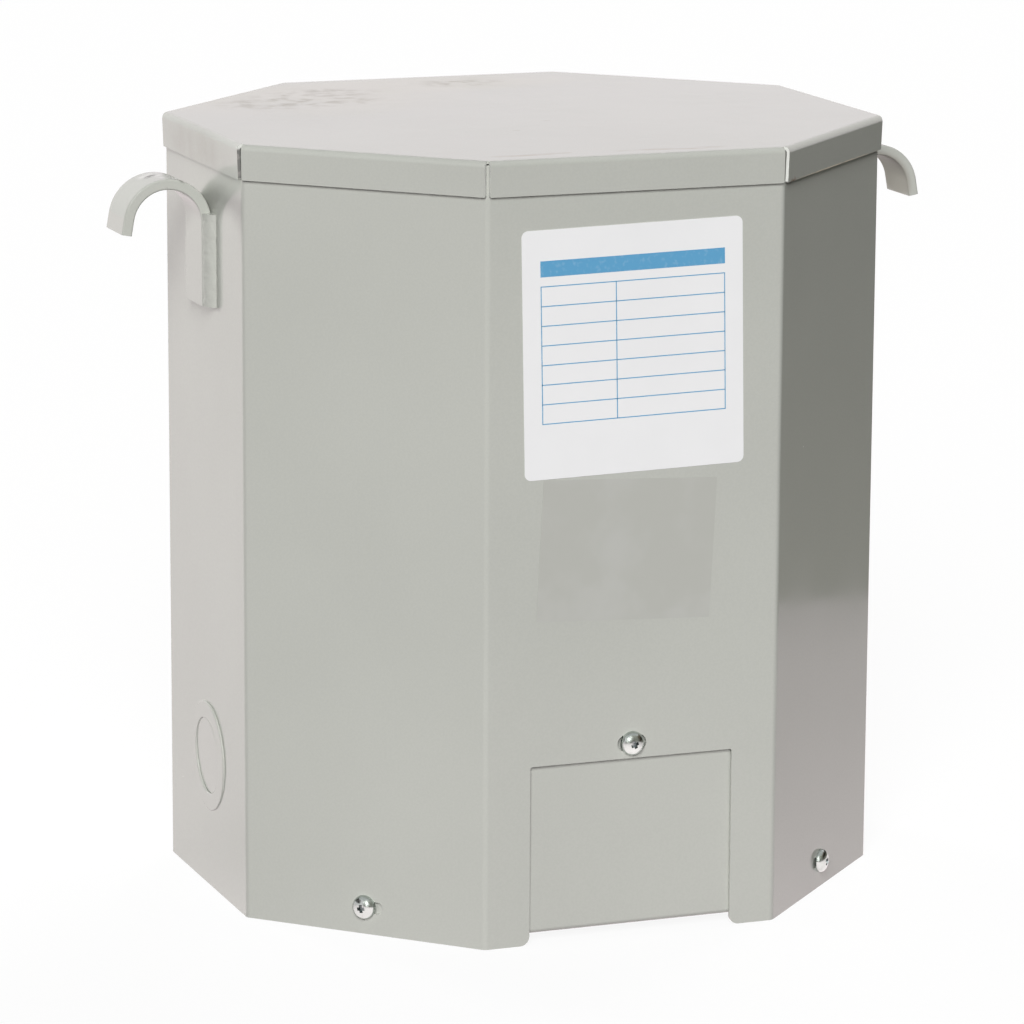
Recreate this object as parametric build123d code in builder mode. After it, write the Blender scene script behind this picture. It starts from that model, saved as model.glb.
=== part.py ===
from build123d import *
from math import atan, degrees, radians, sqrt, tan
import os

# Eight-sided case of a floor-standing dry transformer, in millimetres.
# The front faces -Y, +Z is up and the origin is on the floor under the middle of the case.

# Case
total_height = 350
case_width = 304.4
case_depth = 280.6
corner_leg = 83.3
sheet = 1.4
case_bend = 4
seat_gap = 0.2
seam_lap = 14

# Lid
lid_flange = 15.7
lid_lean = 2
lid_bend = 2.7
lid_corner = 0.6
lid_relief = 0.3
lid_clear = 0.5

# Wiring opening and its cover
tab_width = 21
notch_height = 81.3
notch_corner = 1
tab_round = 4.4
cover_lap = 9
cover_rise = 17
cover_bend = 2.4
floor_lift = 4.7
corner_flange_inset = 12.9
corner_flange_height = 17

# Screw slots
centre_slot_length = 13.7
centre_slot_height = 7.4
centre_slot_lift = 6.9
corner_slot_length = 14.4
corner_slot_height = 5.4
corner_slot_lift = 12.4
corner_slot_shift = 1.7
screw_hole = 4.4

# Conduit knockouts
knockout_lift = 61
knockout_outer = 50.4
knockout_inner = 34.9
knockout_kerf = 0.3
knockout_step = 0.8

# Lifting hooks
hook_width = 25.4
hook_bar = 4.8
hook_bend = 15.6
hook_lean = 10
hook_drop = 41
hook_leg = 37.5
hook_tip = 7.2
hook_edge = 0.8
weld_rise = 4.3
weld_toe = 6.2
weld_crown = 0.8

# Potted block
core_clear = 3
core_head_space = 8

# Worked out from the sizes above
half_width = case_width / 2
half_depth = case_depth / 2
slant_reach = half_width + half_depth - corner_leg
side_end = half_depth - corner_leg
front_end = half_width - corner_leg
lid_ceiling = total_height - sheet
lid_foot = total_height - lid_flange
lid_slope = lid_flange * tan(radians(lid_lean))
lid_over = sheet + seat_gap + lid_slope
lid_bend_reach = lid_bend * tan(radians(90 + lid_lean) / 2)
wall_height = lid_ceiling - lid_clear
overrun = 2 * sheet
notch_width = 2 * (front_end - tab_width)
notch_slot_height = notch_height + centre_slot_lift
cover_top = notch_height + cover_rise
corner_flange_width = corner_leg * sqrt(2) - 2 * corner_flange_inset
corner_flange_top = floor_lift + corner_flange_height
core_foot = cover_top + core_clear
core_top = wall_height - core_head_space
hook_eye = total_height - hook_drop
hook_foot = hook_eye - hook_leg
weld_top = hook_eye + weld_rise
knockout_share = knockout_inner / knockout_outer
ring_tilt = degrees(atan(knockout_step / knockout_outer))
disc_tilt = degrees(atan(knockout_step * (1 + knockout_share) / knockout_inner))


def octagon(side, front, rear, front_slant, rear_slant):
    """Corners of the case's plan with its faces moved in by the given amounts, from the front right."""
    x_side = half_width - side
    y_front = half_depth - front
    y_rear = half_depth - rear
    front_reach = slant_reach - front_slant * sqrt(2)
    rear_reach = slant_reach - rear_slant * sqrt(2)
    right = [
        (front_reach - y_front, -y_front),
        (x_side, x_side - front_reach),
        (x_side, rear_reach - x_side),
        (rear_reach - y_rear, y_rear),
    ]
    return right + [(-x, y) for x, y in reversed(right)]


def even_octagon(inset):
    """Corners of the case's plan with every face moved in alike."""
    return octagon(inset, inset, inset, inset, inset)


def slant_plane(hand):
    """Plane on the outside of a front slanted face, with its x towards the rear and its y up."""
    middle = (hand * (half_width + front_end) / 2, -(half_depth + side_end) / 2, 0)
    return Plane(middle, x_dir=(1, hand, 0), z_dir=(hand, -1, 0))


def slant_section(hand):
    """Plane across a front slanted face, with its x inwards from the outside and its y up."""
    middle = slant_plane(hand).origin
    return Plane(middle, x_dir=(-hand, 1, 0), z_dir=(1, hand, 0))


front_section = Plane((0, -half_depth, 0), x_dir=(0, 1, 0), z_dir=(1, 0, 0))
front_plane = Plane((0, -half_depth, 0), x_dir=(1, 0, 0), z_dir=(0, -1, 0))
side_planes = {
    hand: Plane((hand * half_width, 0, 0), x_dir=(0, hand, 0), z_dir=(hand, 0, 0)) for hand in (-1, 1)
}
hand_names = {-1: "left", 1: "right"}

corners = even_octagon(0)

os.makedirs("parts", exist_ok=True)


# Front wrap: one sheet bent round the sides, the front slants and the front
with BuildPart() as front_wrap:
    with BuildSketch():
        with BuildLine():
            FilletPolyline(
                (-half_width, side_end),
                corners[6],
                corners[7],
                corners[0],
                corners[1],
                (half_width, side_end),
                radius=case_bend,
            )
            offset(amount=sheet, side=Side.LEFT)
        make_face()
    extrude(amount=wall_height)
    # Wiring opening, with the inner corners of its two tabs rounded off
    with BuildSketch(front_plane):
        Rectangle(notch_width, notch_height, align=(Align.CENTER, Align.MIN))
    extrude(amount=-overrun, mode=Mode.SUBTRACT)
    notch_edges = front_wrap.edges().filter_by(Axis.Y)
    notch_edges = notch_edges.filter_by_position(Axis.X, -notch_width, notch_width)
    tab_corners = notch_edges.filter_by_position(Axis.Z, 0, 0)
    fillet(tab_corners.filter_by(lambda edge: abs(abs(edge.center().X) - notch_width / 2) < sheet), tab_round)
    top_corners = front_wrap.edges().filter_by(Axis.Y).filter_by_position(Axis.Z, notch_height, notch_height)
    fillet(top_corners, notch_corner)
    # Screw slots over the opening and low on each slant
    with BuildSketch(front_plane):
        with Locations((0, notch_slot_height)):
            SlotOverall(centre_slot_length, centre_slot_height)
    extrude(amount=-overrun, mode=Mode.SUBTRACT)
    for hand in hand_names:
        with BuildSketch(slant_plane(hand)):
            with Locations((-hand * corner_slot_shift, corner_slot_lift)):
                SlotOverall(corner_slot_length, corner_slot_height)
        extrude(amount=-overrun, mode=Mode.SUBTRACT)
    # Knockout holes in the sides
    for hand in hand_names:
        with BuildSketch(side_planes[hand]):
            with Locations((0, knockout_lift)):
                Circle(knockout_outer / 2)
        extrude(amount=-overrun, mode=Mode.SUBTRACT)

front_wrap.part.label = "front_wrap"
export_step(front_wrap.part, "parts/front_wrap.step")


# Rear wrap: one sheet for the back and its slants, with lips tucked inside the sides
with BuildPart() as rear_wrap:
    with BuildSketch():
        with BuildLine():
            FilletPolyline(
                (half_width - sheet, side_end - seam_lap),
                (half_width - sheet, side_end + sheet),
                corners[3],
                corners[4],
                (sheet - half_width, side_end + sheet),
                (sheet - half_width, side_end - seam_lap),
                radius=case_bend,
            )
            offset(amount=sheet, side=Side.LEFT)
        make_face()
    extrude(amount=wall_height)

rear_wrap.part.label = "rear_wrap"
export_step(rear_wrap.part, "parts/rear_wrap.step")


# Lid: a flat plate with eight square-ended flanges bent down, so that every corner stays open
with BuildPart() as lid:
    lid_flat = even_octagon(lid_bend_reach - lid_over)
    with BuildSketch(Plane.XY.offset(lid_ceiling)):
        Polygon(*lid_flat, align=None)
    extrude(amount=sheet)
    for start, end in zip(lid_flat, lid_flat[1:] + lid_flat[:1]):
        along = Vector(*end) - Vector(*start)
        middle = (Vector(*start) + Vector(*end)) / 2 + Vector(0, 0, total_height)
        with BuildSketch(Plane(middle, x_dir=along.cross(Vector(0, 0, 1)), z_dir=-along)):
            with BuildLine():
                FilletPolyline(
                    (-sheet, 0),
                    (lid_bend_reach, 0),
                    (lid_bend_reach - lid_slope, -lid_flange),
                    radius=lid_bend,
                )
                offset(amount=sheet, side=Side.RIGHT)
            make_face()
        extrude(amount=along.length / 2 - lid_relief, both=True)
    # Lower corners of the flanges rounded off
    foot_edges = lid.edges().filter_by_position(Axis.Z, lid_foot, lid_foot + sheet)
    fillet(foot_edges.filter_by(lambda edge: abs(edge.length - sheet) < seat_gap), lid_corner)

lid.part.label = "lid"
export_step(lid.part, "parts/lid.step")


# Wiring cover: a floor with a tall flange behind the opening and a low one behind each slant
with BuildPart() as wiring_cover:
    loose_edge = sheet + seat_gap
    bent_edge = sheet + cover_bend
    with BuildSketch(Plane.XY.offset(floor_lift)):
        Polygon(*octagon(sheet + loose_edge, bent_edge, loose_edge, bent_edge, loose_edge), align=None)
    extrude(amount=sheet)
    flanges = [(front_section, cover_top, notch_width + 2 * cover_lap)]
    for hand in hand_names:
        flanges.append((slant_section(hand), corner_flange_top, corner_flange_width))
    for section, top, width in flanges:
        with BuildSketch(section):
            with BuildLine():
                FilletPolyline(
                    (bent_edge + cover_bend, floor_lift),
                    (sheet, floor_lift),
                    (sheet, top),
                    radius=cover_bend,
                )
                offset(amount=sheet, side=Side.RIGHT)
            make_face()
        extrude(amount=width / 2, both=True)
    # Holes that the screws thread into
    with BuildSketch(front_plane):
        with Locations((0, notch_slot_height)):
            Circle(screw_hole / 2)
    extrude(amount=-overrun, mode=Mode.SUBTRACT)
    for hand in hand_names:
        with BuildSketch(slant_plane(hand)):
            with Locations((0, corner_slot_lift)):
                Circle(screw_hole / 2)
        extrude(amount=-overrun, mode=Mode.SUBTRACT)

wiring_cover.part.label = "wiring_cover"
export_step(wiring_cover.part, "parts/wiring_cover.step")


# Potted block: the winding cast into the upper part of the case
with BuildPart() as potted_core:
    with BuildSketch(Plane.XY.offset(core_foot)):
        Polygon(*octagon(sheet + loose_edge, loose_edge, loose_edge, loose_edge, loose_edge), align=None)
    extrude(amount=core_top - core_foot)
    fillet(potted_core.edges().filter_by(Axis.Z), case_bend - sheet)

potted_core.part.label = "potted_core"
export_step(potted_core.part, "parts/potted_core.step")


# Lifting hooks: flat bar bent over into a crook, its leg welded to the side
for hand, name in hand_names.items():
    wall = hand * half_width
    with BuildPart() as hook:
        with BuildSketch(Plane.XZ):
            with BuildLine():
                leg = Line((wall, hook_foot), (wall, hook_eye))
                crook = JernArc(leg @ 1, leg % 1, hook_bar + hook_bend, hand * (hook_lean - 180))
                Line(crook @ 1, crook @ 1 + hook_tip * (crook % 1))
                offset(amount=hook_bar, side=Side.RIGHT if hand > 0 else Side.LEFT)
            make_face()
        extrude(amount=hook_width / 2, both=True)
        chamfer(hook.faces().filter_by(Axis.Y).edges(), hook_edge)

    hook.part.label = f"{name}_hook"
    export_step(hook.part, f"parts/{name}_hook.step")

    # Weld beads along both long edges of the leg
    for way, end in ((-1, "front"), (1, "rear")):
        root = way * hook_width / 2
        toe = root + way * weld_toe
        face = wall + hand * (hook_bar - hook_edge)
        with BuildPart() as weld:
            with BuildSketch(Plane.XY.offset(hook_foot)):
                with BuildLine():
                    Line((wall, toe), (wall, root))
                    Line((wall, root), (face, root))
                    middle = ((wall + face) / 2 + hand * weld_crown, (root + toe) / 2 + way * weld_crown)
                    ThreePointArc((face, root), middle, (wall, toe))
                make_face()
            extrude(amount=weld_top - hook_foot)

        weld.part.label = f"{name}_hook_{end}_weld"
        export_step(weld.part, f"parts/{name}_hook_{end}_weld.step")


# Knockouts: a ring and a disc left by two round cuts, each pushed out of line at one side
for hand, name in hand_names.items():
    side_plane = side_planes[hand]
    centre = side_plane.from_local_coords((0, knockout_lift, 0))
    blank_plane = Plane(centre, x_dir=side_plane.x_dir, z_dir=side_plane.z_dir)
    with BuildPart() as ring:
        with BuildSketch(blank_plane.offset(knockout_step / 2).rotated((0, hand * ring_tilt, 0))):
            Circle(knockout_outer / 2 - knockout_kerf)
            Circle(knockout_inner / 2, mode=Mode.SUBTRACT)
        extrude(amount=-sheet)

    ring.part.label = f"{name}_knockout_ring"
    export_step(ring.part, f"parts/{name}_knockout_ring.step")

    with BuildPart() as disc:
        with BuildSketch(blank_plane.rotated((0, hand * disc_tilt, 0))):
            Circle(knockout_inner / 2 - knockout_kerf)
        extrude(amount=-sheet)

    disc.part.label = f"{name}_knockout_disc"
    export_step(disc.part, f"parts/{name}_knockout_disc.step")
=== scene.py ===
import math

import bmesh
import bpy
from mathutils import Matrix, Vector


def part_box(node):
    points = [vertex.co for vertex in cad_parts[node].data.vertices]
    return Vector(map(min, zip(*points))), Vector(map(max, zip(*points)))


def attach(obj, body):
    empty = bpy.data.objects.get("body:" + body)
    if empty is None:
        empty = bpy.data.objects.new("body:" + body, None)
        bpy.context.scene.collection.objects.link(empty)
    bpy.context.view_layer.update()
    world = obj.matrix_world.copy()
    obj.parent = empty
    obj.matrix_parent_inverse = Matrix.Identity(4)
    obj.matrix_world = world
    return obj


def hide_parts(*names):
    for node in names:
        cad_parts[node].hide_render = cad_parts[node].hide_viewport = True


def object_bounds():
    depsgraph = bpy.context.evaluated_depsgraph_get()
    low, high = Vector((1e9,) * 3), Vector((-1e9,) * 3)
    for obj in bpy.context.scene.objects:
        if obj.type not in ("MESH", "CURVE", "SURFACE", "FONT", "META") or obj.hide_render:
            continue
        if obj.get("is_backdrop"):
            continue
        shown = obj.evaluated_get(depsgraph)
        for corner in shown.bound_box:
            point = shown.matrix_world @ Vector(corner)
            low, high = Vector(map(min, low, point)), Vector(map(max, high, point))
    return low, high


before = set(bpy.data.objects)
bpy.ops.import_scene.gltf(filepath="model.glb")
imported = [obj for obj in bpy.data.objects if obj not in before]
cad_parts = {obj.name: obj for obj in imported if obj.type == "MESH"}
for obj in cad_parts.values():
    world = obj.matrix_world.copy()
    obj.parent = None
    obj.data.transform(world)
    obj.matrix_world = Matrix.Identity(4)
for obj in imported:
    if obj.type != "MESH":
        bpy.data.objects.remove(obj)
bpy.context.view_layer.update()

mm = 0.001        # sizes below are millimetres times this
hands = {"left": -1, "right": 1}

# Sizes that the other pieces follow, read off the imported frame
wrapLow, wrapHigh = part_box("front_wrap")
lidLow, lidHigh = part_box("lid")
halfWidth = wrapHigh.x
halfDepth = -wrapLow.y
sideEnd = wrapHigh.y        # half the length of a side face
slantReach = halfWidth + sideEnd        # x and y together, all along a slanted face
diagonal = math.sqrt(0.5)
print("frame read, case", [round(v / mm, 1) for v in (2 * halfWidth, 2 * halfDepth, lidHigh.z)])


# Small helpers for node trees
def addNode(tree, kind, inputs=None, **settings):
    node = tree.nodes.new(kind)
    for name, value in settings.items():
        setattr(node, name, value)
    for key, value in (inputs or {}).items():
        feed(tree, node.inputs[key], value)
    return node


def nodeOut(tree, kind, inputs=None, **settings):
    return addNode(tree, kind, inputs, **settings).outputs[0]


def shapeOut(tree, kind, inputs=None, **settings):
    return nodeOut(tree, "GeometryNode" + kind, inputs, **settings)


def feed(tree, socket, value):
    if isinstance(value, bpy.types.NodeSocket):
        tree.links.new(value, socket)
    else:
        socket.default_value = value


def calc(tree, operation, first, second=0.0):
    return nodeOut(tree, "ShaderNodeMath", {0: first, 1: second}, operation=operation)


def minus(tree, first, second):
    return calc(tree, "SUBTRACT", first, second)


def total(tree, *values):
    result = values[0]
    for value in values[1:]:
        result = calc(tree, "ADD", result, value)
    return result


def product(tree, *values):
    result = values[0]
    for value in values[1:]:
        result = calc(tree, "MULTIPLY", result, value)
    return result


def rangeTo(tree, value, low, high, start, end, smooth=True):
    node = addNode(tree, "ShaderNodeMapRange", {"Value": value})
    node.interpolation_type = "SMOOTHSTEP" if smooth else "LINEAR"
    for socket, number in zip(node.inputs[1:5], (low, high, start, end)):
        socket.default_value = number
    return node.outputs[0]


# Materials
def newMaterial(name):
    material = bpy.data.materials.new(name)
    material.use_nodes = True
    tree = material.node_tree
    shader = tree.nodes["Principled BSDF"]
    coords = addNode(tree, "ShaderNodeTexCoord").outputs["Object"]
    return material, tree, shader, coords


def noiseAt(tree, coords, scale, detail, stretch=(1, 1, 1)):
    spot = nodeOut(tree, "ShaderNodeMapping", {"Vector": coords, "Scale": stretch})
    return nodeOut(tree, "ShaderNodeTexNoise", {"Vector": spot, "Scale": scale, "Detail": detail})


def noiseRange(tree, coords, scale, detail, low, high, start, end):
    return rangeTo(tree, noiseAt(tree, coords, scale, detail), low, high, start, end)


def mixColour(tree, factor, first, second):
    node = addNode(tree, "ShaderNodeMix", {0: factor, 6: first, 7: second}, data_type="RGBA")
    return node.outputs[2]


def shadeColour(tree, colour, level):
    return nodeOut(tree, "ShaderNodeVectorMath", {0: colour[:3], "Scale": level}, operation="SCALE")


def ovalMask(tree, coords, centre, radii, turn, solid):
    away = nodeOut(tree, "ShaderNodeVectorMath", {0: coords, 1: centre}, operation="SUBTRACT")
    turned = nodeOut(tree, "ShaderNodeVectorRotate", {"Vector": away, "Angle": -math.radians(turn)})
    scaled = nodeOut(tree, "ShaderNodeVectorMath", {0: turned, 1: radii}, operation="DIVIDE")
    length = addNode(tree, "ShaderNodeVectorMath", {0: scaled}, operation="LENGTH").outputs["Value"]
    return rangeTo(tree, length, solid, 1.0, 1.0, 0.0)


def addBumps(tree, shader, coords, bumps):
    last = None
    for scale, detail, height in bumps:
        inputs = {"Height": noiseAt(tree, coords, scale, detail), "Distance": height}
        if last:
            inputs["Normal"] = last
        last = nodeOut(tree, "ShaderNodeBump", inputs)
    if last:
        tree.links.new(last, shader.inputs["Normal"])


# Paint of the case, lid and hooks; noises: scale, detail, the part that counts and what it becomes
paintLook = {
    "colour": (0.462, 0.472, 0.433, 1),
    "tone": (8, 3, 0.3, 0.7, 0.98, 1.02),        # slow unevenness of the colour
    "grain": (1100, 1, 0.3, 0.7, 0.985, 1.015),
    "gloss": (26, 3, 0.35, 0.7, 0.09, 0.16),        # roughness of clean paint
    "sheen": 0.5,
    "peel": (620, 1.0, 0.0000012),        # orange peel: scale, detail, height in metres
    "sway": (11, 1.0, 0.00007),        # the sheet's gentle unevenness
    "dust": (0.74, 0.74, 0.71, 1),
    "dustScale": 75,
    "dustFrom": 0.83,        # cells below this carry no speck
    "dustRim": (0.02, 0.035),
    "wearDetail": 5,
    "wearSolid": 0.35,        # share of an oval's radius that is covered fully
}
# Wear and painted light on the lid: dirt and smudges at the rear left, scuffs along the front edge, two
# nicks in the middle, mottled grime on the left flange that also darkens it as painted shade, a painted
# highlight along the foot of the right slant's flange and one rust spot
lidWearAndPaintedLight = {        # ovals: centre and radii in millimetres, turn; noise: scale, stretch, range, strength
    "dirt": {
        "ovals": [((-85, 80, 350), (95, 75, 5), 0), ((0, 115, 350), (90, 40, 5), 0)],
        "noise": (14, (1, 1, 1), 0.1, 0.6, 0.6),
        "colour": (0.51, 0.495, 0.42, 1), "roughen": 0.05, "dull": 0.0,
    },
    "smudges": {
        "ovals": [((-98, 68, 350), (34, 30, 5), 0), ((-68, 96, 350), (40, 26, 5), 0),
                  ((-66, 68, 350), (30, 26, 5), 0), ((10, 113, 350), (30, 18, 5), 0)],
        "noise": (170, (0.8, 1, 1), 0.44, 0.63, 0.85),
        "colour": (0.35, 0.335, 0.285, 1), "roughen": 0.1, "dull": 0.75,
    },
    "scuffs": {
        "ovals": [((-34, -131, 350), (44, 9, 30), 0), ((20, -131, 350), (34, 6, 30), 0)],
        "noise": (85, (0.6, 1.5, 1), 0.46, 0.68, 0.75),
        "colour": (0.34, 0.30, 0.23, 1), "roughen": 0.1, "dull": 0.45,
    },
    "nicks": {
        "ovals": [((1, -27, 350), (6, 1.6, 10), -6), ((-25, -54, 350), (5, 1.8, 10), 0)],
        "noise": (420, (0.5, 1, 1), 0.4, 0.65, 0.7),
        "colour": (0.26, 0.24, 0.20, 1), "roughen": 0.1, "dull": 0.6,
    },
    # Mottled grime that also darkens the whole left flange: a real stain and painted shade
    "grime": {
        "ovals": [((-154, 6, 341), (6, 62, 14), 0)],
        "noise": (60, (1, 1, 1), 0.1, 0.9, 0.36),
        "colour": (0.27, 0.25, 0.21, 1), "roughen": 0.1, "dull": 0.5,
    },
    # A pale line along the foot of the right slant's flange: painted highlight, lighter than the paint
    "foot": {
        "ovals": [((112.5, -100.0, 334.3), (64, 9, 0.8), 45)],
        "noise": (160, (1, 1, 1), 0.25, 0.6, 0.9),
        "colour": (0.80, 0.73, 0.58, 1), "roughen": 0.05, "dull": 0.0,
    },
    "rust": {
        "ovals": [((74.0, -135.5, 334), (4.5, 4.5, 3), 0)],
        "noise": (500, (1, 1, 1), 0.35, 0.6, 0.8),
        "colour": (0.20, 0.09, 0.035, 1), "roughen": 0.1, "dull": 0.5,
    },
}
# Wear and painted shade on the hooks: scuffs and a pale rub on the left crook; inside the right crook
# painted shade, a darker colour with its reflection taken away
hookWearAndPaintedShade = {
    "rub": {
        "ovals": [((-172.3, 0, 329), (4.5, 13, 4), 0), ((-177, 5, 329), (7, 6, 4), 0)],
        "noise": (300, (0.6, 1.6, 1), 0.40, 0.56, 0.75),
        "colour": (0.68, 0.68, 0.65, 1), "roughen": 0.08, "dull": 0.0,
    },
    "scuff": {
        "ovals": [((-176.5, 1.5, 329), (5.0, 3.2, 4), 25), ((-168.0, -11.0, 329), (5.0, 1.2, 4), -30)],
        "noise": (420, (0.8, 1.6, 1), 0.36, 0.48, 0.9),
        "colour": (0.12, 0.12, 0.11, 1), "roughen": 0.1, "dull": 0.3,
    },
    # Inside the right crook: painted shade, a darker colour, and dull 0.98 takes away nearly all its
    # reflection
    "grime": {
        "ovals": [((172.6, 0, 309.0), (19.5, 40, 19.5), 0)],
        "noise": (30, (1, 1, 1), 0.0, 0.3, 1.0), "solid": 0.85,
        "colour": (0.37, 0.355, 0.32, 1), "roughen": 0.1, "dull": 0.98,
    },
}


# Mask of one mark on the paint; the marks are real wear and dirt, and also the painted highlight and
# painted shade listed above
def wearAndLightMask(tree, coords, wear):
    solid = wear.get("solid", paintLook["wearSolid"])
    patches = []
    for centre, radii, turn in wear["ovals"]:
        place, reach = ([v * mm for v in lengths] for lengths in (centre, radii))
        patches.append(ovalMask(tree, coords, place, reach, turn, solid))
    cover = calc(tree, "MINIMUM", total(tree, *patches), 1.0)
    scale, stretch, low, high, strength = wear["noise"]
    noise = noiseAt(tree, coords, scale, paintLook["wearDetail"], stretch)
    return product(tree, cover, rangeTo(tree, noise, low, high, 0.0, strength))


def makePaint(name, wears=None):
    look = paintLook
    material, tree, shader, coords = newMaterial(name)
    shade = product(tree, noiseRange(tree, coords, *look["tone"]), noiseRange(tree, coords, *look["grain"]))
    colour = shadeColour(tree, look["colour"], shade)
    cells = addNode(tree, "ShaderNodeTexVoronoi", {"Vector": coords, "Scale": look["dustScale"]}).outputs
    lone = calc(tree, "GREATER_THAN", cells["Color"], look["dustFrom"])
    speck = product(tree, rangeTo(tree, cells["Distance"], *look["dustRim"], 1.0, 0.0), lone)
    colour = mixColour(tree, speck, colour, look["dust"])
    rough = noiseRange(tree, coords, *look["gloss"])
    sheen = look["sheen"]
    # Each mark lays its colour over the paint: wear and dirt, and also the painted highlight and painted
    # shade
    for wear in (wears or {}).values():
        mask = wearAndLightMask(tree, coords, wear)
        colour = mixColour(tree, mask, colour, wear["colour"])
        rough = total(tree, rough, product(tree, mask, wear["roughen"]))
        sheen = product(tree, sheen, minus(tree, 1.0, product(tree, mask, wear["dull"])))
    feed(tree, shader.inputs["Specular IOR Level"], sheen)
    tree.links.new(colour, shader.inputs["Base Color"])
    tree.links.new(rough, shader.inputs["Roughness"])
    addBumps(tree, shader, coords, (look["sway"], look["peel"]))
    return material


# Other finishes: patches of a second colour over the first, roughness and bumps
finishLooks = {
    "screwZinc": {
        "colours": ((0.51, 0.555, 0.53, 1), (0.39, 0.42, 0.40, 1)), "metallic": 1.0,
        "patches": (520, 4, 0.5, 0.75, 0.0, 0.6),
        "rough": (900, 2, 0.3, 0.7, 0.15, 0.25), "bumps": [(1500, 2.0, 0.000004)],
    },
    # The cross recess: darker zinc, painted shade in the recess
    "screwRecess": {
        "colours": ((0.30, 0.33, 0.33, 1), (0.08, 0.09, 0.09, 1)), "metallic": 1.0,
        "patches": (520, 4, 0.5, 0.75, 0.0, 0.6),
        "rough": (900, 2, 0.3, 0.7, 0.3, 0.4), "bumps": [(1500, 2.0, 0.000004)],
    },
    "plateVinyl": {
        "colours": ((0.8028, 0.8028, 0.8077, 1), (0.815, 0.815, 0.82, 1)), "metallic": 0.0,
        "patches": (40, 3, 0.3, 0.7, 0.0, 1.0),
        "rough": (60, 3, 0.3, 0.7, 0.32, 0.42), "bumps": [(260, 1.0, 0.000004)],
    },
    "plateInk": {
        "colours": ((0.10, 0.33, 0.55, 1), (0.36, 0.53, 0.66, 1)), "metallic": 0.0,
        "patches": (420, 3, 0.5, 0.8, 0.0, 0.35),
        "rough": (300, 2, 0.3, 0.7, 0.4, 0.5), "bumps": [],
    },
    "clearFilm": {
        "colours": ((0.43, 0.435, 0.40, 1), (0.455, 0.46, 0.43, 1)), "metallic": 0.0,
        "patches": (45, 3, 0.4, 0.7, 0.0, 1.0),
        "rough": (90, 3, 0.3, 0.7, 0.1, 0.22), "bumps": [(70, 2.0, 0.00002), (600, 1.0, 0.000002)],
    },
    "pottingResin": {
        "colours": ((0.035, 0.034, 0.033, 1), (0.11, 0.10, 0.085, 1)), "metallic": 0.0,
        "patches": (700, 4, 0.45, 0.7, 0.0, 1.0),
        "rough": (120, 3, 0.3, 0.7, 0.6, 0.85), "bumps": [(700, 4.0, 0.0003)],
    },
}
cutEdgeLook = {        # dark with paler chips, and a pale colour, a painted highlight, over most of it
    "colours": ((0.19, 0.19, 0.18, 1), (0.30, 0.29, 0.27, 1)), "metallic": 0.0,
    "patches": (380, 3, 0.5, 0.68, 0.0, 1.0),
    "rough": (200, 2, 0.3, 0.7, 0.3, 0.45), "bumps": [(900, 2.0, 0.00001)],
    # The pale colour, lighter than the paint: a painted highlight on the cut edges
    "paint": (0.72, 0.73, 0.69, 1),
    "topRun": (347.0 * mm, 348.6 * mm),        # painted highlight at the top, over the bend
    "sideRun": (-115 * mm, -95 * mm),        # and the painted highlight on the whole edge, but for the left side's
}


def twoTone(tree, coords, look):
    return mixColour(tree, noiseRange(tree, coords, *look["patches"]), *look["colours"])


def finishShader(tree, shader, coords, look, colour):
    tree.links.new(colour, shader.inputs["Base Color"])
    tree.links.new(noiseRange(tree, coords, *look["rough"]), shader.inputs["Roughness"])
    shader.inputs["Metallic"].default_value = look["metallic"]
    addBumps(tree, shader, coords, look["bumps"])


def makeFinish(name):
    look = finishLooks[name]
    material, tree, shader, coords = newMaterial(name)
    finishShader(tree, shader, coords, look, twoTone(tree, coords, look))
    return material


def makeCutEdge():
    look = cutEdgeLook
    material, tree, shader, coords = newMaterial("lidCutEdge")
    spot = addNode(tree, "ShaderNodeSeparateXYZ", {0: coords}).outputs
    over = rangeTo(tree, spot[2], *look["topRun"], 0.0, 1.0)
    aside = rangeTo(tree, spot[0], *look["sideRun"], 0.0, 1.0)
    # Where the pale colour, a painted highlight, covers the cut edge: at the top, and everywhere but the
    # left side's flange ends
    run = calc(tree, "MAXIMUM", over, aside)
    colour = mixColour(tree, run, twoTone(tree, coords, look), look["paint"])
    finishShader(tree, shader, coords, look, colour)
    return material


casePaint = makePaint("casePaint")
lidPaint = makePaint("lidPaint", lidWearAndPaintedLight)
hookPaint = makePaint("hookPaint", hookWearAndPaintedShade)
cutEdge = makeCutEdge()
finishes = {name: makeFinish(name) for name in finishLooks}
print("materials made", len(bpy.data.materials))

# Pieces: shared making and finishing
edgeLook = {"segments": 2, "angle": 35, "weight": 100}        # rounding of the cut edges
doubleGap = 0.002 * mm        # points closer than this are one


def newPiece(name, mesh):
    piece = bpy.data.objects.new(name, mesh)
    bpy.context.scene.collection.objects.link(piece)
    return piece


def emptyMesh(name):
    return bpy.data.meshes.new(name)


def bakeShape(piece):
    graph = bpy.context.evaluated_depsgraph_get()
    mesh = bpy.data.meshes.new_from_object(piece.evaluated_get(graph), depsgraph=graph)
    piece.modifiers.clear()
    piece.data = mesh
    if len(mesh.materials) > 1 and mesh.materials[0] is None:
        mesh.materials.pop(index=0)        # the empty slot in front of the tree's own materials
    return piece


def faceOutwards(piece):
    work = bmesh.new()
    work.from_mesh(piece.data)
    bmesh.ops.remove_doubles(work, verts=work.verts, dist=doubleGap)
    bmesh.ops.recalc_face_normals(work, faces=work.faces)
    work.to_mesh(piece.data)
    work.free()
    return piece


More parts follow.
